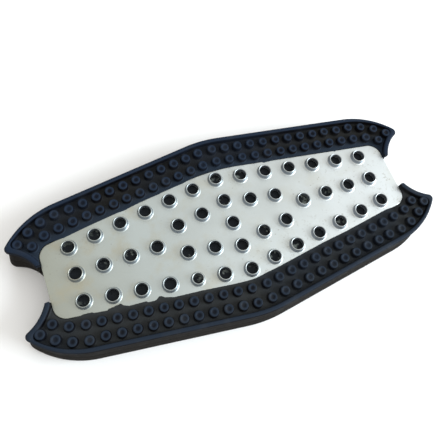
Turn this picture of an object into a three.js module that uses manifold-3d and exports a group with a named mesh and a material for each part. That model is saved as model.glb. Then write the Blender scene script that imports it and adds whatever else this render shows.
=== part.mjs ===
// Grater-plate tread pad: a flat pierced steel plate held in a moulded rubber pad.
//
// Millimetres, +Z up. The origin is the centre of the underside, +X runs along the
// pad and +Y across it. The pad is symmetric about both the XZ and the YZ plane.
import * as THREE from 'three';
import { mergeVertices } from 'three/addons/utils/BufferGeometryUtils.js';
import Module from 'manifold-3d';

const wasm = await Module();
wasm.setup();

// ---------------------------------------------------------------- driving sizes

const HOLE_PITCH = 8.5; // between neighbouring holes of a row, along X

// Heights above the surface that the pad is stuck to.
const SHEET_TOP = 0.8; // double-sided adhesive sheet
const BASE_BOTTOM = 0.9;
const PARTING_HEIGHT = 4.8; // line where the tread strips sit on the base
const LAYER_GAP = 0.1; // glue line between two flat layers
const PEDESTAL_TOP = 8.5; // rubber that shows at the bottom of the holes
const PLATE_THICKNESS = 0.8;
const PLATE_FACE = 9.4;
const HOLE_LIP_HEIGHT = 1.6; // drawn-up lip, above the plate's face
const LIP_UNDERSIDE = 8.8; // the rim overhangs the side wall above this height
const LIP_ROOT = 0.4; // depth by which the rim reaches into the wall below it
const STRIP_FLOOR = 9.4; // rubber between the bumps
const RIM_TOP = 11.3; // bumps and rim end level

// Plan of the rim: two straight sides that meet in a blunt apex, a round shoulder
// at each corner and a concave circular notch in each end.
const SIDE_SLOPE = 0.142;
const SIDE_APEX = 31.3; // |y| where the two straight sides would meet
const APEX_RADIUS = 42.5;
const SHOULDER_X = 47.7;
const SHOULDER_RADIUS = 27.2;
const NOTCH = { centreX: 74.1, radius: 13.8 };
const HORN_RADIUS = 1.4; // rounding of the rim's four horn tips
const RIM_WIDTH = 1.6;
const WELL_NOTCH = { centreX: 74.1, radius: 14.3 }; // the rim is a little wider along the notch
const WELL_SHIFT = 1.2; // the well inside the rim reaches this much further along X

// Side wall below the rim: set back under the lip and flared towards the foot.
const WALL_SETBACK = 0.35;
const WALL_HORN_RADIUS = 1.6;
const FOOT_SPREAD = 1.1; // the foot stands out this far past the rim
const FOOT_NOTCH = { centreX: 71.3, radius: 12.2 };
const FOOT_HORN_RADIUS = 3;
const RIM_END_Y = 5.8; // the rim stops this far from the pad's long axis
const SHEET_INSET = 0.9; // from the foot's outline

// Plan of the plate.
const PLATE_HALF_LENGTH = 60.1;
const PLATE_APEX = 20.3;
const PLATE_SLOPE = 0.146;
const PLATE_APEX_RADIUS = 68;
const PLATE_CORNER_RADIUS = 4.4;
const FIT_GAP = 0.3; // between the plate's edge and the rubber around it

// Pierced holes: an outer row along each long side, a ring about the middle hole and a
// row on the long axis that starts at the fourth place.
const OUTER_HOLES = { y: 16.2, drop: 1.258 }; // the row falls this much for each pitch
const HOLES_PER_HALF = 7;
const RING_Y = [8.1, 5.95, 4.7];
const HOLE_RADIUS = 1.85;
const LIP_WALL = 0.35;
const FLARE_WIDTH = 0.65; // foot of the lip, where it blends into the plate
const FLARE_HEIGHT = 0.45;
const HOLE_SIDES = 12;

// Round bumps in two rows along each strip.
const BUMP_PITCH = 4.52;
const BUMP_START = 0.545; // first bump's distance from the middle, in pitches
const BUMP_RADIUS = 1.45;
const BUMP_FOOT_RADIUS = 1.8;
const BUMP_SIDES = 8;
const BUMP_ROOT = 0.6; // depth by which a bump reaches into its floor

// Each row is straight, then bends inwards round the shoulder, where its bumps
// stand a little further apart.
const SHOULDER_STRETCH = 1.045;
const OUTER_ROW = { apex: 27.1, slope: 0.136, straight: 11, radius: 24.5, centreX: 48.2, curved: 4 };
const INNER_ROW = { apex: 22.4, slope: 0.131, straight: 12, radius: 16.5, centreX: 51.1, curved: 2 };

// ---------------------------------------------------------------- plan outlines

function arc(centreX, centreY, radius, from, to, divisions) {
  const curve = new THREE.EllipseCurve(centreX, centreY, radius, radius, from, to, to < from);
  return curve.getPoints(divisions);
}

// Where two circles meet, on the side with the larger y.
function upperMeeting(ax, ay, aRadius, bx, by, bRadius) {
  const distance = Math.hypot(bx - ax, by - ay);
  const along = (aRadius ** 2 - bRadius ** 2 + distance ** 2) / (2 * distance);
  const aside = Math.sqrt(aRadius ** 2 - along ** 2);
  const ux = (bx - ax) / distance;
  const uy = (by - ay) / distance;
  return { x: ax + along * ux - aside * uy, y: ay + along * uy + aside * ux };
}

// Quarter outline from the apex on +Y to the bottom of the notch on +X, mirrored.
function mirrored(quarter) {
  const clean = quarter.filter((p, i) => i === 0 || p.distanceTo(quarter[i - 1]) > 1e-6);
  const across = clean.slice(0, -1).reverse().map((p) => new THREE.Vector2(p.x, -p.y));
  const half = [...clean, ...across];
  const back = half.slice(1, -1).reverse().map((p) => new THREE.Vector2(-p.x, p.y));
  return [...half, ...back];
}

// The pad's outline, moved in by inset, with horn tips of the given radius. A shift
// of the shoulders along X makes the band between two outlines narrower at the horns.
function padOutline(inset, hornRadius, shoulderShift = 0, notch = NOTCH) {
  const tilt = Math.atan(SIDE_SLOPE);
  const shoulderX = SHOULDER_X + shoulderShift;
  const apexRadius = APEX_RADIUS - inset;
  const apexCentre = SIDE_APEX - APEX_RADIUS / Math.cos(tilt);
  const shoulderRadius = SHOULDER_RADIUS - inset;
  const sideAtShoulder = SIDE_APEX - SIDE_SLOPE * shoulderX;
  const shoulderY = sideAtShoulder - SHOULDER_RADIUS / Math.cos(tilt);
  const notchRadius = notch.radius + inset;
  const horn = upperMeeting(
    shoulderX, shoulderY, shoulderRadius - hornRadius,
    notch.centreX, 0, notchRadius + hornRadius,
  );
  const outward = Math.atan2(horn.y - shoulderY, horn.x - shoulderX);
  const fromNotch = Math.atan2(horn.y, horn.x - notch.centreX);
  return mirrored([
    ...arc(0, apexCentre, apexRadius, Math.PI / 2, Math.PI / 2 - tilt, 3),
    ...arc(shoulderX, shoulderY, shoulderRadius, Math.PI / 2 - tilt, outward, 12),
    ...arc(horn.x, horn.y, hornRadius, outward, fromNotch - Math.PI, 5),
    ...arc(notch.centreX, 0, notchRadius, fromNotch, Math.PI, 8),
  ]);
}

// The plate's outline, moved out by grow: straight ends and rounded corners.
function plateOutline(grow) {
  const tilt = Math.atan(PLATE_SLOPE);
  const end = PLATE_HALF_LENGTH + grow;
  const apex = PLATE_APEX + grow / Math.cos(tilt);
  const apexRadius = PLATE_APEX_RADIUS + grow;
  const corner = PLATE_CORNER_RADIUS + grow;
  const cornerX = end - corner;
  const cornerY = apex - PLATE_SLOPE * cornerX - corner / Math.cos(tilt);
  return mirrored([
    ...arc(0, apex - apexRadius / Math.cos(tilt), apexRadius, Math.PI / 2, Math.PI / 2 - tilt, 3),
    ...arc(cornerX, cornerY, corner, Math.PI / 2 - tilt, 0, 6),
    new THREE.Vector2(end, 0),
  ]);
}

// ---------------------------------------------------------------- solids

// A closed geometry as a solid, with its doubled and collapsed corners removed.
function solid(geometry) {
  geometry.deleteAttribute('normal');
  geometry.deleteAttribute('uv');
  const merged = mergeVertices(geometry, 1e-5);
  const index = merged.index.array;
  const triangles = [];
  for (let i = 0; i < index.length; i += 3) {
    const [a, b, c] = [index[i], index[i + 1], index[i + 2]];
    if (a !== b && b !== c && c !== a) triangles.push(a, b, c);
  }
  return new wasm.Manifold(new wasm.Mesh({
    numProp: 3,
    vertProperties: new Float32Array(merged.attributes.position.array),
    triVerts: new Uint32Array(triangles),
  }));
}

// The outline stood up between two heights.
function prismGeometry(outline, bottom, top) {
  const geometry = new THREE.ExtrudeGeometry(new THREE.Shape(outline), {
    depth: top - bottom,
    bevelEnabled: false,
  });
  return geometry.translate(0, 0, bottom);
}

function prism(outline, bottom, top) {
  return solid(prismGeometry(outline, bottom, top));
}

// A box from its lowest to its highest corner.
function box(low, high) {
  const size = high.map((value, i) => value - low[i]);
  const geometry = new THREE.BoxGeometry(...size);
  return solid(geometry.translate(...low.map((value, i) => value + size[i] / 2)));
}

// A round piece about a vertical axis, from (radius, height) pairs.
function turned(profile, sides, x, y) {
  const points = profile.map(([radius, height]) => new THREE.Vector2(radius, height));
  const geometry = new THREE.LatheGeometry(points, sides);
  return solid(geometry.rotateX(Math.PI / 2).translate(x, y, 0));
}

const FAR = 200; // reaches past the pad on every side

function keepAbove(piece, height) {
  return piece.subtract(box([-FAR, -FAR, -FAR], [FAR, FAR, height]));
}

function keepBelow(piece, height) {
  return piece.subtract(box([-FAR, -FAR, height], [FAR, FAR, FAR]));
}

// The foot's outline, moved in by inset. Its notch is deeper and narrower than the rim's.
function footOutline(inset) {
  return padOutline(inset - FOOT_SPREAD, FOOT_HORN_RADIUS, 0, FOOT_NOTCH);
}

// Side wall of both rubber mouldings, spreading from under the lip to the foot.
function flaredBody() {
  const top = padOutline(WALL_SETBACK, WALL_HORN_RADIUS);
  const foot = footOutline(0);
  const geometry = prismGeometry(foot, BASE_BOTTOM, LIP_UNDERSIDE);
  const position = geometry.attributes.position;
  for (let i = 0; i < position.count; i += 1) {
    if (position.getZ(i) > (BASE_BOTTOM + LIP_UNDERSIDE) / 2) {
      const x = position.getX(i);
      const y = position.getY(i);
      const corner = foot.findIndex((p) => Math.hypot(p.x - x, p.y - y) < 1e-3);
      position.setXY(i, top[corner].x, top[corner].y);
    }
  }
  return solid(geometry);
}

// ---------------------------------------------------------------- repeated features

// Centres of all the pierced holes, in the quarter with x and y not negative.
function holeQuarter() {
  const centres = [[0, 0]];
  RING_Y.forEach((y, i) => centres.push([i * HOLE_PITCH, y]));
  for (let i = 0; i < HOLES_PER_HALF; i += 1) {
    const x = i * HOLE_PITCH;
    centres.push([x, OUTER_HOLES.y - OUTER_HOLES.drop * i]);
    if (i >= RING_Y.length) centres.push([x, 0]);
  }
  return centres;
}

// Centres of one row of bumps, on the side with x and y positive.
function bumpRow(row) {
  const centres = [];
  for (let i = 0; i < row.straight; i += 1) {
    const x = BUMP_PITCH * (i + BUMP_START);
    centres.push([x, row.apex - row.slope * x]);
  }
  const [lastX, lastY] = centres[centres.length - 1];
  const centreY = lastY - Math.sqrt(row.radius ** 2 - (lastX - row.centreX) ** 2);
  const start = Math.atan2(lastY - centreY, lastX - row.centreX);
  const step = (BUMP_PITCH * SHOULDER_STRETCH) / row.radius;
  for (let i = 1; i <= row.curved; i += 1) {
    const angle = start - step * i;
    centres.push([row.centreX + row.radius * Math.cos(angle), centreY + row.radius * Math.sin(angle)]);
  }
  return centres;
}

// A list of centres with its mirror images, each place once.
function reflected(centres, signsX, signsY) {
  const places = new Map();
  for (const [x, y] of centres) {
    for (const sx of signsX) {
      for (const sy of signsY) {
        const place = [x === 0 ? 0 : sx * x, y === 0 ? 0 : sy * y];
        places.set(place.join(), place);
      }
    }
  }
  return [...places.values()];
}

// ---------------------------------------------------------------- the pieces

function graterPlate() {
  const underside = PLATE_FACE - PLATE_THICKNESS;
  const lipTop = PLATE_FACE + HOLE_LIP_HEIGHT;
  const lipRadius = HOLE_RADIUS + LIP_WALL;
  const core = PLATE_FACE - PLATE_THICKNESS / 2;
  const collar = [
    [0, core],
    [lipRadius + FLARE_WIDTH, core],
    [lipRadius, PLATE_FACE + FLARE_HEIGHT],
    [lipRadius, lipTop],
    [0, lipTop],
  ];
  const bore = [
    [0, underside - 1],
    [HOLE_RADIUS, underside - 1],
    [HOLE_RADIUS, lipTop + 1],
    [0, lipTop + 1],
  ];
  const centres = reflected(holeQuarter(), [1, -1], [1, -1]);
  let plate = prism(plateOutline(0), underside, PLATE_FACE);
  for (const [x, y] of centres) plate = plate.add(turned(collar, HOLE_SIDES, x, y));
  for (const [x, y] of centres) plate = plate.subtract(turned(bore, HOLE_SIDES, x, y));
  return plate;
}

// One rubber strip with its rim and bumps; side is 1 for +Y and -1 for -Y.
function treadStrip(side) {
  const body = keepAbove(flaredBody(), PARTING_HEIGHT + LAYER_GAP);
  const lip = prism(padOutline(0, HORN_RADIUS), LIP_UNDERSIDE - LIP_ROOT, RIM_TOP);
  const well = prism(padOutline(RIM_WIDTH, HORN_RADIUS, WELL_SHIFT, WELL_NOTCH), STRIP_FLOOR, RIM_TOP + 1);
  const plateSpace = prism(plateOutline(FIT_GAP), 0, RIM_TOP + 1);
  const bump = [
    [0, STRIP_FLOOR - BUMP_ROOT],
    [BUMP_FOOT_RADIUS, STRIP_FLOOR - BUMP_ROOT],
    [BUMP_RADIUS, RIM_TOP],
    [0, RIM_TOP],
  ];
  let strip = body.add(lip).subtract(well);
  const rows = [...bumpRow(OUTER_ROW), ...bumpRow(INNER_ROW)];
  for (const [x, y] of reflected(rows, [1, -1], [side])) {
    strip = strip.add(turned(bump, BUMP_SIDES, x, y));
  }
  const edge = side * RIM_END_Y;
  const otherSide = side > 0
    ? box([-FAR, -FAR, -1], [FAR, edge, FAR])
    : box([-FAR, edge, -1], [FAR, FAR, FAR]);
  return strip.subtract(plateSpace).subtract(otherSide);
}

// Lower moulding: the foot of the side wall and the block under the plate.
function basePad() {
  const foot = keepBelow(flaredBody(), PARTING_HEIGHT);
  const notched = prism(padOutline(WALL_SETBACK, WALL_HORN_RADIUS), PARTING_HEIGHT - 1, PEDESTAL_TOP);
  const pedestal = prism(plateOutline(0), PARTING_HEIGHT - 1, PEDESTAL_TOP);
  return foot.add(pedestal.intersect(notched));
}

function adhesiveSheet() {
  return prism(footOutline(SHEET_INSET), 0, SHEET_TOP);
}

// ---------------------------------------------------------------- scene graph

const rubber = { roughness: 0.62, metalness: 0 };

function mesh(name, piece, look) {
  const data = piece.getMesh();
  const geometry = new THREE.BufferGeometry();
  geometry.setAttribute('position', new THREE.BufferAttribute(new Float32Array(data.vertProperties), 3));
  geometry.setIndex(new THREE.BufferAttribute(new Uint32Array(data.triVerts), 1));
  geometry.computeVertexNormals();
  const node = new THREE.Mesh(geometry, new THREE.MeshStandardMaterial(look));
  node.name = name;
  return node;
}

const pad = new THREE.Group();
pad.name = 'tread_pad';
pad.add(mesh('grater_plate', graterPlate(), { color: 0xd4d2cb, roughness: 0.38, metalness: 0.9 }));
pad.add(mesh('tread_strip_left', treadStrip(1), { color: 0x26292f, ...rubber }));
pad.add(mesh('tread_strip_right', treadStrip(-1), { color: 0x26292f, ...rubber }));
pad.add(mesh('base_pad', basePad(), { color: 0x2a2926, ...rubber }));
pad.add(mesh('adhesive_sheet', adhesiveSheet(), { color: 0x1b1b1c, roughness: 0.9, metalness: 0 }));

export default pad;
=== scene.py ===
"""Looks of the grater-plate tread pad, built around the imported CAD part.

Shapes are worked out in millimetres in the CAD frame and made in metres:
+X runs along the pad, +Y across it, +Z up, with the origin under its centre.
"""

import math
import random

import bmesh
import bpy
from mathutils import Matrix, Vector, noise
from mathutils.geometry import delaunay_2d_cdt


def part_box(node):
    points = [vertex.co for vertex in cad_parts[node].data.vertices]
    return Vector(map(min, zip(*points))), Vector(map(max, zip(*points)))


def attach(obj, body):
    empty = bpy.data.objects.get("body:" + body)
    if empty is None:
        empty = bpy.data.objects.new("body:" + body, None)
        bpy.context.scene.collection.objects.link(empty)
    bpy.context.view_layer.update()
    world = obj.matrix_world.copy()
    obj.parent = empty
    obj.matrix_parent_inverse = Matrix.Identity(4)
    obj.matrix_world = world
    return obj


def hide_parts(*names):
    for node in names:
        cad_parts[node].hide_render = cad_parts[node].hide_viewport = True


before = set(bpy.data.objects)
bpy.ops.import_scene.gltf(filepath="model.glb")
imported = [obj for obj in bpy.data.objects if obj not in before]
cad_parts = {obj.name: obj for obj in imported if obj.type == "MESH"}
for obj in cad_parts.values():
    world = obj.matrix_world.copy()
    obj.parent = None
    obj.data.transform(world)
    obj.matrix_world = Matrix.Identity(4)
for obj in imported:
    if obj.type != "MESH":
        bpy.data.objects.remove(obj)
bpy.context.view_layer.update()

MM = 0.001


# ------------------------------------------------------------------ sizes from the frame

def span_mm(node):
    """The node's lowest and highest z, in millimetres."""
    low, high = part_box(node)
    return low.z / MM, high.z / MM


PLATE_BOTTOM, LIP_TOP = span_mm("grater_plate")
STRIP_BOTTOM, RIM_TOP = span_mm("tread_strip_left")
BASE_BOTTOM, PEDESTAL_TOP = span_mm("base_pad")
PLATE_HALF_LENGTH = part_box("grater_plate")[1].x / MM
RIM_END_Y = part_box("tread_strip_left")[0].y / MM

# The CAD source's driving sizes that a node's box doesn't give.
HOLE_PITCH = 8.5
HOLES_PER_HALF = 7
OUTER_HOLES = {"y": 16.2, "drop": 1.258}  # y at the middle, and its drop per pitch
RING_Y = [8.1, 5.95, 4.7]  # the y of the holes round the middle one, pitch by pitch
FIRST_AXIS_HOLE = 3  # the long axis has holes from this pitch outwards
PLATE_THICKNESS = 0.8
PLATE_FACE = PLATE_BOTTOM + PLATE_THICKNESS
STRIP_FLOOR = PLATE_FACE
LAYER_GAP = 0.1
PARTING_HEIGHT = STRIP_BOTTOM - LAYER_GAP
LIP_UNDERSIDE = RIM_TOP - 2.5

SIDE_SLOPE = 0.142
SIDE_APEX = 31.3
APEX_RADIUS = 42.5
SHOULDER_X = 47.7
SHOULDER_RADIUS = 27.2
NOTCH = {"centre_x": 74.1, "radius": 13.8}
WELL_NOTCH_EXTRA = 0.5
HORN_RADIUS = 1.4
WALL_SETBACK = 0.35
WALL_HORN_RADIUS = 1.6
FOOT_SPREAD = 1.1
FOOT_NOTCH = {"centre_x": 71.3, "radius": 12.2}
FOOT_HORN_RADIUS = 3.0

PLATE_APEX = 20.3
PLATE_SLOPE = 0.146
PLATE_APEX_RADIUS = 68
PLATE_CORNER_RADIUS = 4.4
FIT_GAP = 0.12

BUMP_PITCH = 4.52
BUMP_START = 0.545  # the first bump's distance from the middle, in pitches
SHOULDER_STRETCH = 1.045
OUTER_ROW = {
    "apex": 27.1, "slope": 0.136, "straight": 11,
    "radius": 24.5, "centre_x": 48.2, "curved": 4,
}
INNER_ROW = {
    "apex": 22.4, "slope": 0.131, "straight": 12,
    "radius": 16.5, "centre_x": 51.1, "curved": 2,
}


# ------------------------------------------------------------------ plan outlines

def arc(centre_x, centre_y, radius, start, end, steps):
    """Points along an arc, both ends included."""
    angles = [start + (end - start) * i / steps for i in range(steps + 1)]
    return [(centre_x + radius * math.cos(a), centre_y + radius * math.sin(a)) for a in angles]


def upper_meeting(ax, ay, a_radius, bx, by, b_radius):
    """Where two circles meet, on the side with the larger y."""
    distance = math.hypot(bx - ax, by - ay)
    along = (a_radius**2 - b_radius**2 + distance**2) / (2 * distance)
    aside = math.sqrt(a_radius**2 - along**2)
    ux = (bx - ax) / distance
    uy = (by - ay) / distance
    return ax + along * ux - aside * uy, ay + along * uy + aside * ux


def mirrored(quarter):
    """A closed outline from its quarter between +Y and +X."""
    clean = [quarter[0]]
    for point in quarter[1:]:
        if math.dist(point, clean[-1]) > 1e-6:
            clean.append(point)
    half = clean + [(x, -y) for x, y in reversed(clean[:-1])]
    return half + [(-x, y) for x, y in reversed(half[1:-1])]


def pad_outline(inset, horn_radius, shoulder_shift=0.0, notch=NOTCH):
    """The pad's outline, moved in by inset. A shift of the shoulder narrows the band at the horns."""
    tilt = math.atan(SIDE_SLOPE)
    shoulder_x = SHOULDER_X + shoulder_shift
    shoulder_y = SIDE_APEX - SIDE_SLOPE * shoulder_x - SHOULDER_RADIUS / math.cos(tilt)
    shoulder_radius = SHOULDER_RADIUS - inset
    apex_centre = SIDE_APEX - APEX_RADIUS / math.cos(tilt)
    notch_radius = notch["radius"] + inset
    horn_x, horn_y = upper_meeting(
        shoulder_x, shoulder_y, shoulder_radius - horn_radius,
        notch["centre_x"], 0, notch_radius + horn_radius,
    )
    quarter_turn = math.pi / 2
    outward = math.atan2(horn_y - shoulder_y, horn_x - shoulder_x)
    from_notch = math.atan2(horn_y, horn_x - notch["centre_x"])
    return mirrored(
        arc(0, apex_centre, APEX_RADIUS - inset, quarter_turn, quarter_turn - tilt, 10)
        + arc(shoulder_x, shoulder_y, shoulder_radius, quarter_turn - tilt, outward, 40)
        + arc(horn_x, horn_y, horn_radius, outward, from_notch - math.pi, 14)
        + arc(notch["centre_x"], 0, notch_radius, from_notch, math.pi, 26)
    )


def plate_outline(grow):
    """The plate's outline, moved out by grow."""
    tilt = math.atan(PLATE_SLOPE)
    end = PLATE_HALF_LENGTH + grow
    apex = PLATE_APEX + grow / math.cos(tilt)
    apex_radius = PLATE_APEX_RADIUS + grow
    corner = PLATE_CORNER_RADIUS + grow
    corner_x = end - corner
    corner_y = apex - PLATE_SLOPE * corner_x - corner / math.cos(tilt)
    quarter_turn = math.pi / 2
    apex_centre = apex - apex_radius / math.cos(tilt)
    return mirrored(
        arc(0, apex_centre, apex_radius, quarter_turn, quarter_turn - tilt, 12)
        + arc(corner_x, corner_y, corner, quarter_turn - tilt, 0, 20)
        + [(end, 0)]
    )


def plate_side_y(x):
    """Half the plate's width at x, away from its rounded corners."""
    tilt = math.atan(PLATE_SLOPE)
    bend = PLATE_APEX_RADIUS * math.sin(tilt)
    if abs(x) < bend:
        centre = PLATE_APEX - PLATE_APEX_RADIUS / math.cos(tilt)
        return centre + math.sqrt(PLATE_APEX_RADIUS**2 - x * x)
    return PLATE_APEX - PLATE_SLOPE * abs(x)


def outer_hole_y(number):
    """The y of an outer row's hole, counted in pitches from the middle."""
    return OUTER_HOLES["y"] - OUTER_HOLES["drop"] * number


def hole_centres():
    """Centres of the plate's pierced holes."""
    quarter = [(0, 0)]
    quarter += [(i * HOLE_PITCH, outer_hole_y(i)) for i in range(HOLES_PER_HALF)]
    quarter += [(i * HOLE_PITCH, 0) for i in range(FIRST_AXIS_HOLE, HOLES_PER_HALF)]
    quarter += [(i * HOLE_PITCH, y) for i, y in enumerate(RING_Y)]
    return reflected(quarter, (1, -1), (1, -1))


def bump_row(row):
    """Centres of one row of bumps, where x and y are positive."""
    centres = []
    for i in range(row["straight"]):
        x = BUMP_PITCH * (i + BUMP_START)
        centres.append((x, row["apex"] - row["slope"] * x))
    last_x, last_y = centres[-1]
    radius = row["radius"]
    centre_x = row["centre_x"]
    centre_y = last_y - math.sqrt(radius**2 - (last_x - centre_x) ** 2)
    start = math.atan2(last_y - centre_y, last_x - centre_x)
    step = BUMP_PITCH * SHOULDER_STRETCH / radius
    for i in range(1, row["curved"] + 1):
        angle = start - step * i
        centres.append((centre_x + radius * math.cos(angle), centre_y + radius * math.sin(angle)))
    return centres


def reflected(centres, signs_x, signs_y):
    """The centres with their mirror images, each place once, in a steady order."""
    places = []
    for x, y in centres:
        for sign_x in signs_x:
            for sign_y in signs_y:
                places.append((sign_x * x if x else 0.0, sign_y * y if y else 0.0))
    return list(dict.fromkeys(places))


# ------------------------------------------------------------------ mesh building

class Builder:
    """Collects rings of points, in millimetres, and the faces between them."""

    def __init__(self):
        self.points = []
        self.faces = []

    def ring(self, loop, z):
        """Adds a closed loop of (x, y) at height z, or of (x, y, z) where z is None."""
        start = len(self.points)
        for point in loop:
            self.points.append(tuple(point) if z is None else (point[0], point[1], z))
        return list(range(start, len(self.points)))

    def bridge(self, lower, upper):
        """Joins two rings of the same length."""
        count = len(lower)
        for i in range(count):
            j = (i + 1) % count
            self.faces.append((lower[i], lower[j], upper[j], upper[i]))

    def stack(self, rings):
        """Joins each ring to the next."""
        for lower, upper in zip(rings, rings[1:]):
            self.bridge(lower, upper)

    def cap(self, ring):
        """Closes a ring with one face."""
        self.faces.append(tuple(ring))

    def fill(self, outer, holes):
        """Flat triangles between an outer ring and the rings of its holes."""
        rings = [outer] + holes
        order = [i for ring in rings for i in ring]
        flat = [Vector(self.points[i][:2]) for i in order]
        edges = []
        start = 0
        for ring in rings:
            count = len(ring)
            edges += [(start + i, start + (i + 1) % count) for i in range(count)]
            start += count
        inside_only = 1
        result = delaunay_2d_cdt(flat, edges, [], inside_only, 1e-6, True)
        origin = [order[sources[0]] for sources in result[3]]
        hole_of = {i: number for number, hole in enumerate(holes) for i in hole}
        for face in result[2]:
            corners = tuple(origin[i] for i in face)
            owners = {hole_of.get(i) for i in corners}
            inside_hole = len(owners) == 1 and None not in owners
            if not inside_hole:
                self.faces.append(corners)

    def make(self, name):
        """The object, with its faces turned outwards."""
        mesh = bpy.data.meshes.new(name)
        mesh.from_pydata([(x * MM, y * MM, z * MM) for x, y, z in self.points], [], self.faces)
        work = bmesh.new()
        work.from_mesh(mesh)
        bmesh.ops.triangulate(work, faces=[f for f in work.faces if len(f.verts) > 4])
        bmesh.ops.recalc_face_normals(work, faces=work.faces)
        work.to_mesh(mesh)
        work.free()
        piece = bpy.data.objects.new(name, mesh)
        bpy.context.scene.collection.objects.link(piece)
        return piece


def loft(name, rings):
    """A closed body through a list of (outline, z)."""
    builder = Builder()
    made = [builder.ring(outline, z) for outline, z in rings]
    builder.stack(made)
    builder.cap(made[0])
    builder.cap(made[-1])
    return builder.make(name)


def circle(centre, radius, sides):
    """A ring of points about a centre."""
    return arc(centre[0], centre[1], radius, 0, 2 * math.pi, sides)[:-1]


def boolean(target, tool, operation):
    """Joins or cuts target with tool, which is used up."""
    modifier = target.modifiers.new("boolean", "BOOLEAN")
    modifier.operation = operation
    modifier.solver = "MANIFOLD"
    modifier.object = tool
    depsgraph = bpy.context.evaluated_depsgraph_get()
    mesh = bpy.data.meshes.new_from_object(target.evaluated_get(depsgraph))
    target.modifiers.clear()
    target.data = mesh
    bpy.data.objects.remove(tool)


def tidy_shading(piece, sharp_degrees=40):
    """Smooth faces with sharp edges kept, and flat areas that stay flat."""
    mesh = piece.data
    for polygon in mesh.polygons:
        polygon.use_smooth = True
    mesh.set_sharp_from_angle(angle=math.radians(sharp_degrees))
    weighted = piece.modifiers.new("weighted", "WEIGHTED_NORMAL")
    weighted.mode = "FACE_AREA"
    weighted.keep_sharp = True


def wall_outline(z, inset):
    """The side wall's outline at height z, moved in by inset. It spreads from under the lip to the foot."""
    rise = (z - BASE_BOTTOM) / (LIP_UNDERSIDE - BASE_BOTTOM)
    top = pad_outline(WALL_SETBACK + inset, WALL_HORN_RADIUS)
    foot = pad_outline(inset - FOOT_SPREAD, FOOT_HORN_RADIUS, 0.0, FOOT_NOTCH)
    return [
        (fx + (tx - fx) * rise, fy + (ty - fy) * rise)
        for (fx, fy), (tx, ty) in zip(foot, top)
    ]


# ------------------------------------------------------------------ node materials

DUST_SPECKS = (0.09, 0.088, 0.084)
PALE_SPOTS = (0.24, 0.27, 0.25)
STEEL = {
    "shaded_stained_end": (0.41, 0.43, 0.375),
    "middle": (0.53, 0.585, 0.58),
    "painted_lit_end": (0.64, 0.675, 0.68),
    "tarnish": (0.30, 0.31, 0.28),
    "stain": (0.44, 0.41, 0.30),
    "grime": (0.26, 0.24, 0.21),
    "blots": (0.36, 0.35, 0.31),
    "painted_shade_tone": (0.21, 0.24, 0.29),
}
FOAM_CELLS = (0.018, 0.018, 0.019)
FOAM_WALLS = (0.045, 0.045, 0.047)
PAPER = (0.93, 0.93, 0.93, 1)

class Nodes:
    """Short forms for building a material's node tree."""

    def __init__(self, name):
        self.material = bpy.data.materials.new(name)
        self.material.use_nodes = True
        self.tree = self.material.node_tree
        self.tree.nodes.clear()
        self.output = self.add("ShaderNodeOutputMaterial")
        self.shader = self.add("ShaderNodeBsdfPrincipled")
        self.link(self.shader.outputs["BSDF"], self.output.inputs["Surface"])
        self.where = self.add("ShaderNodeTexCoord").outputs["Object"]

    def add(self, kind):
        """A new node of a kind."""
        return self.tree.nodes.new(kind)

    def link(self, source, target):
        """Wires an output to an input."""
        self.tree.links.new(source, target)

    def noise(self, scale, detail=4.0, roughness=0.55, stretch=None):
        """Soft random values, stretched by a scale for each axis if one is given."""
        where = self.where
        if stretch:
            mapping = self.add("ShaderNodeMapping")
            mapping.inputs["Scale"].default_value = stretch
            self.link(where, mapping.inputs["Vector"])
            where = mapping.outputs["Vector"]
        texture = self.add("ShaderNodeTexNoise")
        texture.inputs["Scale"].default_value = scale
        texture.inputs["Detail"].default_value = detail
        texture.inputs["Roughness"].default_value = roughness
        self.link(where, texture.inputs["Vector"])
        return texture.outputs["Fac"]

    def spots(self, scale):
        """Distance to the nearest of a scatter of points."""
        texture = self.add("ShaderNodeTexVoronoi")
        texture.inputs["Scale"].default_value = scale
        self.link(self.where, texture.inputs["Vector"])
        return texture.outputs["Distance"]

    def along(self, axis):
        """The point's place along an axis, in metres."""
        split = self.add("ShaderNodeSeparateXYZ")
        self.link(self.where, split.inputs["Vector"])
        return split.outputs[axis]

    def ramp(self, value, low, high, low_to=0.0, high_to=1.0):
        """Maps the range low to high onto low_to to high_to, and holds it outside."""
        node = self.add("ShaderNodeMapRange")
        node.inputs["From Min"].default_value = low
        node.inputs["From Max"].default_value = high
        node.inputs["To Min"].default_value = low_to
        node.inputs["To Max"].default_value = high_to
        self.link(value, node.inputs["Value"])
        return node.outputs["Result"]

    def math(self, operation, first, second):
        """Arithmetic on two values, each a number or an output."""
        node = self.add("ShaderNodeMath")
        node.operation = operation
        for socket, value in zip(node.inputs, (first, second)):
            if isinstance(value, (int, float)):
                socket.default_value = value
            else:
                self.link(value, socket)
        return node.outputs["Value"]

    def mix(self, factor, first, second):
        """A blend of two colours, each a tuple or an output."""
        node = self.add("ShaderNodeMix")
        node.data_type = "RGBA"
        self.link(factor, node.inputs["Factor"])
        for name, value in (("A", first), ("B", second)):
            socket = [s for s in node.inputs if s.name == name and s.type == "RGBA"][0]
            if isinstance(value, tuple):
                socket.default_value = (*value, 1.0)
            else:
                self.link(value, socket)
        return [s for s in node.outputs if s.type == "RGBA"][0]

    def bump(self, heights):
        """Surface relief from (height value, depth in metres) pairs."""
        normal = None
        for value, depth in heights:
            node = self.add("ShaderNodeBump")
            node.inputs["Distance"].default_value = depth
            self.link(value, node.inputs["Height"])
            if normal:
                self.link(normal, node.inputs["Normal"])
            normal = node.outputs["Normal"]
        self.link(normal, self.shader.inputs["Normal"])


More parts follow.
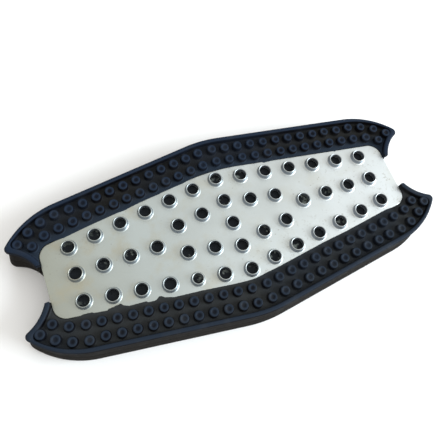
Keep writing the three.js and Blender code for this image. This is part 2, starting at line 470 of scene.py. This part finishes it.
def rubber_material(
    name, wall, wall_top, tones, steps, matt_below, pale_spots_above=None, sheen_beside_plate=None
):
    """Moulded rubber whose tone changes with height.

    The side wall has one tone up to the height wall_top. Above it the tones run from the lowest to the
    highest, with a soft change over each of the steps. Below the height matt_below it's duller. Pale
    spots lie here and there above the height pale_spots_above. The floor beside the plate's +Y edge takes
    the tone sheen_beside_plate, a painted bluish sky reflection.
    """
    nodes = Nodes(name)
    z = nodes.along("Z")
    colour = tones[0]
    for tone, (start, end) in zip(tones[1:], steps):
        colour = nodes.mix(nodes.ramp(z, start * MM, end * MM), colour, tone)
    # Soft random patches take the highest tone, which on the treads is the painted sheen.
    colour = nodes.mix(nodes.ramp(nodes.noise(32, 3, 0.5), 0.50, 0.66, 0.0, 0.4), colour, tones[-1])
    # Painted reflection: the open floor beside the plate's +Y edge takes a bluish sky sheen.
    if sheen_beside_plate:
        below = nodes.ramp(z, (STRIP_FLOOR + 0.5) * MM, (STRIP_FLOOR + 0.3) * MM)
        slant = nodes.math("MULTIPLY", nodes.math("ABSOLUTE", nodes.along("X"), 0.0), PLATE_SLOPE)
        reach = nodes.math("ADD", nodes.along("Y"), slant)
        near = nodes.ramp(reach, (PLATE_APEX + 3.8) * MM, (PLATE_APEX + 0.8) * MM)
        colour = nodes.mix(nodes.math("MULTIPLY", below, near), colour, sheen_beside_plate)
    on_wall = nodes.ramp(z, (wall_top + 0.1) * MM, wall_top * MM)
    colour = nodes.mix(on_wall, colour, wall)
    mottle = nodes.noise(180, 5, 0.6)
    dusty = tuple(c * 1.6 + 0.004 for c in tones[0])
    colour = nodes.mix(nodes.ramp(mottle, 0.5, 0.8, 0.0, 0.35), colour, dusty)
    specks = nodes.ramp(nodes.spots(700), 0.04, 0.12, 0.5, 0.0)
    specks = nodes.math("MULTIPLY", specks, nodes.ramp(mottle, 0.45, 0.6))
    colour = nodes.mix(specks, colour, DUST_SPECKS)
    # Pale spots here and there on the faces above the given height.
    if pale_spots_above:
        some_holes = nodes.ramp(nodes.noise(85, 1, 0.4), 0.52, 0.60)
        spot_grain = nodes.ramp(nodes.noise(620, 3, 0.6), 0.55, 0.66)
        deep = nodes.ramp(z, (pale_spots_above - 0.05) * MM, pale_spots_above * MM)
        pale_spot_mask = nodes.math("MULTIPLY", nodes.math("MULTIPLY", some_holes, spot_grain), deep)
        colour = nodes.mix(pale_spot_mask, colour, PALE_SPOTS)
    nodes.link(colour, nodes.shader.inputs["Base Color"])
    rough = nodes.ramp(nodes.noise(420, 4, 0.6), 0.3, 0.7, 0.46, 0.62)
    matt = nodes.ramp(z, matt_below * MM, (matt_below + 0.2) * MM, 0.85, 0.0)
    rough = nodes.math("MAXIMUM", rough, matt)
    nodes.link(rough, nodes.shader.inputs["Roughness"])
    nodes.shader.inputs["Specular IOR Level"].default_value = 0.05
    nodes.bump([(nodes.noise(300, 4, 0.5), 0.00012), (nodes.noise(2600, 3, 0.6), 0.00005)])
    return nodes.material


def steel_material():
    """Dull rolled steel, stained and painted darker towards its -X end and painted lighter towards +X,
    softly mottled and speckled here and there, with painted shade on the lips' sides, the plate's edge and
    the hole walls.
    """
    nodes = Nodes("plate_steel")
    x = nodes.along("X")
    z = nodes.along("Z")
    # Painted light and shade: from a darker, partly stained -X end through the middle to a lighter +X end.
    colour = nodes.mix(nodes.ramp(x, -0.060, -0.030), STEEL["shaded_stained_end"], STEEL["middle"])
    colour = nodes.mix(nodes.ramp(x, -0.030, 0.045), colour, STEEL["painted_lit_end"])
    tone = nodes.noise(22, 5, 0.55)
    colour = nodes.mix(nodes.ramp(tone, 0.38, 0.62, 0.26, 0.0), colour, STEEL["tarnish"])
    patches = nodes.ramp(nodes.noise(105, 6, 0.6), 0.50, 0.68)
    stained = nodes.ramp(x, -0.045, 0.010, 0.60, 0.20)
    colour = nodes.mix(nodes.math("MULTIPLY", patches, stained), colour, STEEL["stain"])
    grime = nodes.ramp(nodes.spots(520), 0.03, 0.16, 0.6, 0.0)
    grime = nodes.math("MULTIPLY", grime, nodes.ramp(nodes.noise(70, 4, 0.6), 0.48, 0.64))
    colour = nodes.mix(grime, colour, STEEL["grime"])
    blots = nodes.ramp(nodes.noise(900, 3, 0.6), 0.58, 0.68)
    blots = nodes.math("MULTIPLY", blots, nodes.ramp(tone, 0.45, 0.6, 0.0, 0.5))
    colour = nodes.mix(blots, colour, STEEL["blots"])
    # Painted shade: the lips' outer sides, the plate's edge and the hole walls below the face take a dark
    # bluish grey.
    above_face = nodes.ramp(z, (PLATE_FACE + 0.05) * MM, (PLATE_FACE + 0.30) * MM)
    below_lip = nodes.ramp(z, (LIP_TOP - 0.14) * MM, (LIP_TOP - 0.03) * MM, 0.8, 0.0)
    below_face = nodes.ramp(z, (PLATE_FACE - 0.3) * MM, (PLATE_FACE - 0.1) * MM, 0.8, 0.0)
    painted_shade_mask = nodes.math("MAXIMUM", nodes.math("MULTIPLY", above_face, below_lip), below_face)
    colour = nodes.mix(painted_shade_mask, colour, STEEL["painted_shade_tone"])
    nodes.link(colour, nodes.shader.inputs["Base Color"])
    nodes.shader.inputs["Metallic"].default_value = 0.9
    brushing = nodes.noise(700, 3, 0.7, stretch=(0.06, 1.0, 1.0))
    smears = nodes.ramp(nodes.noise(60, 5, 0.6), 0.3, 0.7, 0.0, 0.08)
    rough = nodes.math("ADD", nodes.ramp(brushing, 0.3, 0.7, 0.38, 0.44), smears)
    nodes.link(rough, nodes.shader.inputs["Roughness"])
    nodes.bump([(nodes.noise(55, 3, 0.5), 0.00010), (brushing, 0.000006)])
    return nodes.material


def foam_material():
    """Closed-cell black foam."""
    nodes = Nodes("adhesive_foam")
    cells = nodes.spots(2200)
    colour = nodes.mix(nodes.ramp(cells, 0.1, 0.6), FOAM_CELLS, FOAM_WALLS)
    nodes.link(colour, nodes.shader.inputs["Base Color"])
    nodes.link(nodes.ramp(nodes.noise(300), 0.3, 0.7, 0.8, 0.95), nodes.shader.inputs["Roughness"])
    nodes.bump([(cells, 0.0001)])
    return nodes.material


def dress(piece, material):
    """Gives a piece its only material."""
    piece.data.materials.clear()
    piece.data.materials.append(material)


def place(piece, material, slot, *nodes):
    """Gives a piece its material and its body, and hides the CAD nodes that it stands for. The slot
    argument is not used.
    """
    tidy_shading(piece)
    dress(piece, material)
    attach(piece, "root")
    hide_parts(*nodes)


# ------------------------------------------------------------------ the grater plate

HOLE_RADIUS = 1.85
HOLE_SIDES = 36
HOLE_SIZES = (0.985, 1.02)  # the range of the holes' radii, as shares of HOLE_RADIUS
SMALL_HOLE = {"at": (-2 * HOLE_PITCH, -outer_hole_y(2)), "share": 0.86}  # one is pierced smaller
LIP_HEIGHTS = (0.98, 1.0)  # the range of the lips' heights, as shares of the tallest

# (distance outside the hole's wall, share of the lip's height), from the plate up and over.
LIP_PROFILE = [
    (1.02, 0.0), (0.90, 0.012), (0.78, 0.045), (0.67, 0.11), (0.57, 0.20), (0.49, 0.32),
    (0.43, 0.50), (0.39, 0.75), (0.345, 0.90), (0.285, 0.965), (0.20, 1.0), (0.11, 0.975),
    (0.04, 0.92), (0.0, 0.82),
]
# (growth of the outline, height) of the plate's edge, from its face down.
EDGE_PROFILE = [
    (-0.3, PLATE_FACE), (-0.13, PLATE_FACE - 0.04), (-0.03, PLATE_FACE - 0.16), (0.0, PLATE_FACE - 0.4),
    (-0.05, PLATE_BOTTOM + 0.12), (-0.2, PLATE_BOTTOM),
]
# (distance outside the hole's wall, height) of a hole below its lip.
HOLE_PROFILE = [(0.0, PLATE_FACE - 0.1), (0.12, PLATE_BOTTOM + 0.3), (0.45, PLATE_BOTTOM)]


def grater_plate():
    """The pierced plate, each hole a little different in size and lip height."""
    rng = random.Random(7)
    builder = Builder()
    rims = [builder.ring(plate_outline(grow), z) for grow, z in EDGE_PROFILE]
    builder.stack(rims)
    tops = []
    bottoms = []
    for centre in hole_centres():
        small = math.dist(centre, SMALL_HOLE["at"]) < HOLE_RADIUS
        radius = HOLE_RADIUS * (SMALL_HOLE["share"] if small else rng.uniform(*HOLE_SIZES))
        lip = (LIP_TOP - PLATE_FACE) * rng.uniform(*LIP_HEIGHTS)
        profile = [(out, PLATE_FACE + lip * share) for out, share in LIP_PROFILE] + HOLE_PROFILE
        rings = [builder.ring(circle(centre, radius + out, HOLE_SIDES), z) for out, z in profile]
        builder.stack(rings)
        tops.append(rings[0])
        bottoms.append(rings[-1])
    builder.fill(rims[0], tops)
    builder.fill(rims[-1], bottoms)
    return builder.make("plate_steel_sheet")


# ------------------------------------------------------------------ the rubber

WELL_SHIFT = 1.2  # the rim narrows towards its horns
RIM_CREST = 0.6  # inset at which the rim levels off

# (inset, rise above the parting line) of the strip's side wall, up to the groove under the lip.
WALL_PROFILE = [
    (0.26, 0.0), (0.08, 0.06), (0.0, 0.22), (0.0, 1.2), (0.0, 2.4), (0.0, 3.1), (0.05, 3.30),
    (0.22, 3.46), (0.42, 3.56), (0.50, 3.84),
]
# (inset, height against the rim's top) of the lip, the rim and the fillet into its well.
RIM_PROFILE = [
    (0.72, -2.34), (0.34, -2.20), (0.09, -2.02), (0.0, -1.80), (0.0, -0.85), (0.05, -0.55), (0.17, -0.28),
    (0.36, -0.09), (0.62, 0.0), (1.05, 0.0), (1.26, -0.05), (1.42, -0.20), (1.51, -0.50), (1.57, -1.25),
    (1.62, -1.66), (1.74, -1.86), (1.90, -1.93), (2.10, -1.91), (2.30, -1.90),
]

BUMP_SIDES = 32
BUMP_SCATTER = 0.08
BUMP_WIDTHS = (0.95, 1.01)
BUMP_SINKS = (-0.05, 0.0)
# (radius, height against the rim's top) of a bump, from below its floor to its dimple.
BUMP_PROFILE = [
    (2.00, -2.4), (1.95, -1.9), (1.80, -1.76), (1.69, -1.5), (1.60, -1.0), (1.51, -0.45), (1.46, -0.22),
    (1.40, -0.08), (1.29, -0.01), (1.12, 0.0), (0.93, -0.04), (0.77, -0.12), (0.63, -0.24),
    (0.46, -0.31), (0.27, -0.33), (0.09, -0.34),
]


def carcass(name):
    """The rim, its well and the side wall, all round the pad."""
    rings = []
    for inset, rise in WALL_PROFILE:
        z = STRIP_BOTTOM + rise
        rings.append((wall_outline(z, inset), z))
    widest = RIM_PROFILE[-1][0]
    for inset, drop in RIM_PROFILE:
        share = max(0.0, (inset - RIM_CREST) / (widest - RIM_CREST))
        notch = {"centre_x": NOTCH["centre_x"], "radius": NOTCH["radius"] + WELL_NOTCH_EXTRA * share}
        rings.append((pad_outline(inset, HORN_RADIUS, WELL_SHIFT * share, notch), RIM_TOP + drop))
    return loft(name, rings)


def bumps(side):
    """All the bumps of one strip, as separate closed bodies in one mesh."""
    rng = random.Random(19 + side)
    builder = Builder()
    for x, y in reflected(bump_row(OUTER_ROW) + bump_row(INNER_ROW), (1, -1), (side,)):
        shift_x = rng.uniform(-BUMP_SCATTER, BUMP_SCATTER)
        shift_y = rng.uniform(-BUMP_SCATTER, BUMP_SCATTER)
        centre = (x + shift_x, y + shift_y)
        wide = rng.uniform(*BUMP_WIDTHS)
        low = rng.uniform(*BUMP_SINKS)
        rings = [
            builder.ring(circle(centre, radius * wide, BUMP_SIDES), RIM_TOP + height + low)
            for radius, height in BUMP_PROFILE
        ]
        builder.stack(rings)
        builder.cap(rings[0])
        builder.cap(rings[-1])
    return builder.make("bumps")


FLASH_HALF_LENGTH = 54.5
FLASH_STATIONS = 440
FLASH_FADE = 3.0
FLASH_THICKNESS = 0.10
FLASH_SWELL = 0.06  # how much thicker it gets for each millimetre of reach
FLASH_LEAST = -0.12  # a negative reach leaves a bare strip between rubber and plate
FLASH_LIFT = 0.012  # clearance over the plate's face
# How far the moulding flash reaches over the plate along each long edge, as (x, reach): mostly a thin
# even skin, with a few torn flaps that end in a step.
FLASH_REACH = {
    -1: [
        (-55, 0.0), (-53.0, 0.05), (-52.6, 0.40), (-49.6, 0.42), (-49.2, 0.12), (-45.4, 0.0),
        (-44.8, 0.55), (-43.4, 0.70), (-42.4, 1.05), (-41.0, 1.30), (-40.6, 0.70), (-39.0, 0.15),
        (-34.8, 0.45), (-33.8, 0.50), (-33.4, 0.12), (-31.4, 0.15), (-30.5, 0.60), (-29.8, 1.20),
        (-29.1, 1.15), (-28.2, 0.60), (-25.5, 0.10), (-17, 0.42), (-8, 0.45), (0, 0.20), (4.5, 0.65),
        (26, 0.72), (35, 0.42), (55, 0.48),
    ],
    1: [
        (-55, 0.38), (-50, 0.32), (-42, 0.10), (-34, 0.15), (-31.5, 0.45), (-29.5, 0.28), (-25, 0.0),
        (-19.5, 0.25), (-18, 0.08), (-10.2, 0.30), (-8.8, 0.05), (-4, -0.10), (3, -0.10), (10, 0.05),
        (17.4, -0.05), (18.2, 0.42), (20, 0.25), (24, -0.05), (43.4, -0.10), (44.2, 0.38), (45.4, -0.08),
        (55, -0.10),
    ],
}


def flash_reach(side, x):
    """The flash's reach at x, read between its listed places, with a fine ragged edge."""
    places = FLASH_REACH[side]
    reach = places[0][1]
    for (x0, reach0), (x1, reach1) in zip(places, places[1:]):
        if x0 <= x <= x1:
            reach = reach0 + (reach1 - reach0) * (x - x0) / (x1 - x0)
    ragged = noise.noise(Vector((x * 1.7, side * 9.0, 4.1)))
    return reach + ragged * (0.05 + 0.12 * max(0.0, reach))


def flash(side):
    """The thin irregular skin of rubber that ran over the plate's long edge."""
    builder = Builder()
    rings = []
    for i in range(FLASH_STATIONS + 1):
        x = FLASH_HALF_LENGTH * (2 * i / FLASH_STATIONS - 1)
        edge = plate_side_y(x)
        fade = min(1.0, (FLASH_HALF_LENGTH - abs(x)) / FLASH_FADE)
        reach = max(FLASH_LEAST, flash_reach(side, x) * fade)
        thick = FLASH_THICKNESS + FLASH_SWELL * max(0.0, reach)
        # (distance out from the plate's edge, height over its face), once round the skin.
        section = [
            (0.8, -0.5), (0.8, FLASH_LIFT), (0.42, 0.03), (0.1, thick), (-reach * 0.6, thick),
            (-reach - 0.03, thick * 0.6), (-reach - 0.06, FLASH_LIFT), (0.03, FLASH_LIFT), (0.06, -0.5),
        ]
        loop = [(x, side * (edge + out), PLATE_FACE + height) for out, height in section]
        rings.append(builder.ring(loop, None))
    builder.stack(rings)
    builder.cap(rings[0])
    builder.cap(rings[-1])
    return builder.make("flash")


CUT_FROM = -1.0
CUT_TO = 20.0
FAR = 200.0  # well beyond the pad on every side


def cutter(name, outline):
    """An upright body through the whole pad's depth, used only to cut with."""
    return loft(name, [(outline, CUT_FROM), (outline, CUT_TO)])


def tread_strip(side, name):
    """One strip: the part of the carcass on its side, cut back to the plate, with bumps and flash."""
    strip = carcass(name)
    boolean(strip, bumps(side), "UNION")
    boolean(strip, cutter("plate_space", plate_outline(FIT_GAP)), "DIFFERENCE")
    near = side * RIM_END_Y
    far = -side * FAR
    other_side = [(-FAR, near), (FAR, near), (FAR, far), (-FAR, far)]
    boolean(strip, cutter("other_side", other_side), "DIFFERENCE")
    boolean(strip, flash(side), "UNION")
    return strip


# (inset, height) of the base's side wall, rounded at the foot and at the parting line.
FOOT_PROFILE = [
    (0.55, BASE_BOTTOM), (0.18, BASE_BOTTOM + 0.08), (0.0, BASE_BOTTOM + 0.32), (0.0, BASE_BOTTOM + 1.4),
    (0.0, BASE_BOTTOM + 2.5), (0.0, PARTING_HEIGHT - 0.28), (0.08, PARTING_HEIGHT - 0.08),
    (0.28, PARTING_HEIGHT),
]


def base_pad():
    """The lower moulding, with the block that comes up under the plate."""
    base = loft("base_rubber_moulding", [(wall_outline(z, inset), z) for inset, z in FOOT_PROFILE])
    pedestal = loft("pedestal", [(plate_outline(0), PARTING_HEIGHT - 1), (plate_outline(0), PEDESTAL_TOP)])
    boolean(pedestal, cutter("notched", pad_outline(WALL_SETBACK, WALL_HORN_RADIUS)), "INTERSECT")
    boolean(base, pedestal, "UNION")
    return base


# ------------------------------------------------------------------ camera, light and floor

CAMERA_AT = Vector((-36.8, -42.5, 150.7)) * MM
CAMERA_TARGET = Vector((-4.4, 2.9, 11.0)) * MM
CAMERA_ROLL = 15.71
CAMERA_LENS = 38.83

ROOM_AXIS = (0.75, 0.1, 0.65)  # from the room's far wall, through its dim ceiling, to its bright side
ROOM_SPAN = (0.1, 1.0)
ROOM_STOPS = [(0.0, (0.92, 0.90, 0.86)), (0.30, (0.76, 0.745, 0.71)), (1.0, (1.22, 1.23, 1.22))]
WINDOW = {"place": (0.64, -0.36, 0.36), "size": 0.50, "watts": 9.0, "colour": (0.86, 0.94, 1.0)}
FLOOR_HALF_SIZE = 3.0


def add_camera():
    """The camera, looking down on the pad."""
    data = bpy.data.cameras.new("camera")
    data.lens = CAMERA_LENS
    data.sensor_width = 36.0
    data.clip_start = 0.005
    camera = bpy.data.objects.new("camera", data)
    aim = (CAMERA_TARGET - CAMERA_AT).to_track_quat("-Z", "Y").to_matrix()
    roll = Matrix.Rotation(math.radians(CAMERA_ROLL), 3, "Z")
    camera.matrix_world = Matrix.Translation(CAMERA_AT) @ (aim @ roll).to_4x4()
    bpy.context.scene.collection.objects.link(camera)
    bpy.context.scene.camera = camera


def add_window():
    """A square softbox aimed at the pad."""
    data = bpy.data.lights.new("window", "AREA")
    data.shape = "SQUARE"
    data.size = WINDOW["size"]
    data.energy = WINDOW["watts"]
    data.color = WINDOW["colour"]
    panel = bpy.data.objects.new("window", data)
    panel.location = WINDOW["place"]
    panel.rotation_euler = (-Vector(WINDOW["place"])).to_track_quat("-Z", "Y").to_euler()
    bpy.context.scene.collection.objects.link(panel)


def add_floor():
    """A plain sheet of white paper."""
    size = FLOOR_HALF_SIZE
    mesh = bpy.data.meshes.new("floor")
    corners = [(-size, -size, 0), (size, -size, 0), (size, size, 0), (-size, size, 0)]
    mesh.from_pydata(corners, [], [(0, 1, 2, 3)])
    floor = bpy.data.objects.new("floor", mesh)
    bpy.context.scene.collection.objects.link(floor)
    nodes = Nodes("floor_paper")
    nodes.shader.inputs["Base Color"].default_value = PAPER
    nodes.shader.inputs["Roughness"].default_value = 0.9
    dress(floor, nodes.material)


def add_room():
    """Soft light all round, brighter towards ROOM_AXIS and warmer away from it."""
    world = bpy.data.worlds.new("studio")
    world.use_nodes = True
    tree = world.node_tree
    where = tree.nodes.new("ShaderNodeTexCoord")
    across = tree.nodes.new("ShaderNodeVectorMath")
    across.operation = "DOT_PRODUCT"
    across.inputs[1].default_value = ROOM_AXIS
    tree.links.new(where.outputs["Generated"], across.inputs[0])
    blend = tree.nodes.new("ShaderNodeValToRGB")
    stops = blend.color_ramp.elements
    stops.new(0.5)
    for stop, (position, colour) in zip(stops, ROOM_STOPS):
        stop.position = position
        stop.color = (*colour, 1)
    scaled = tree.nodes.new("ShaderNodeMapRange")
    scaled.inputs["From Min"].default_value = ROOM_SPAN[0]
    scaled.inputs["From Max"].default_value = ROOM_SPAN[1]
    tree.links.new(across.outputs["Value"], scaled.inputs["Value"])
    tree.links.new(scaled.outputs["Result"], blend.inputs["Fac"])
    background = tree.nodes["Background"]
    tree.links.new(blend.outputs["Color"], background.inputs["Color"])
    background.inputs["Strength"].default_value = 1.0
    bpy.context.scene.world = world


# ------------------------------------------------------------------ assembly

add_camera()
add_room()
add_window()
add_floor()
bpy.context.scene.view_settings.view_transform = "Standard"

# The tones of both strips' walls and bump sides, and the heights over which the tone changes from the
# floor's to the bump sides' and from theirs to the tops'. The bump sides' near-black tone is painted shade.
TREAD_WALL = (0.0145, 0.0135, 0.0128)
PAINTED_SIDE_SHADE = (0.0040, 0.0036, 0.0050)
TREAD_STEPS = [(STRIP_FLOOR + 0.15, STRIP_FLOOR + 0.5), (RIM_TOP - 0.40, RIM_TOP - 0.10)]
BASE_WALL = (0.0145, 0.0132, 0.0122)

# Both strips are one rubber. Each last tone is a painted bluish sheen on the rim and bump tops, and the
# floors differ only as painted light and shade: the +Y strip's floor is painted darker and the -Y strip's
# lighter.
left_rubber = rubber_material(
    "tread_rubber_left",
    wall=TREAD_WALL,
    wall_top=STRIP_FLOOR - 0.12,
    tones=[(0.0190, 0.0195, 0.0195), PAINTED_SIDE_SHADE, (0.0125, 0.0205, 0.0370)],
    steps=TREAD_STEPS,
    matt_below=RIM_TOP - 0.5,
    sheen_beside_plate=(0.019, 0.028, 0.043),
)
right_rubber = rubber_material(
    "tread_rubber_right",
    wall=TREAD_WALL,
    wall_top=STRIP_FLOOR - 0.12,
    tones=[(0.0300, 0.0325, 0.0340), PAINTED_SIDE_SHADE, (0.0150, 0.0220, 0.0345)],
    steps=TREAD_STEPS,
    matt_below=RIM_TOP - 0.5,
)
base_rubber = rubber_material(
    "base_rubber",
    wall=BASE_WALL,
    wall_top=PARTING_HEIGHT + 0.3,
    tones=[BASE_WALL, (0.024, 0.028, 0.033)],
    steps=[(PEDESTAL_TOP - 0.3, PEDESTAL_TOP - 0.05)],
    matt_below=PEDESTAL_TOP - 0.3,
    pale_spots_above=PEDESTAL_TOP - 0.05,
)

place(grater_plate(), steel_material(), "plate_steel", "grater_plate")
place(tread_strip(1, "tread_moulding_left"), left_rubber, "tread_rubber", "tread_strip_left")
place(tread_strip(-1, "tread_moulding_right"), right_rubber, "tread_rubber", "tread_strip_right")
place(base_pad(), base_rubber, "base_rubber", "base_pad")
dress(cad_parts["adhesive_sheet"], foam_material())
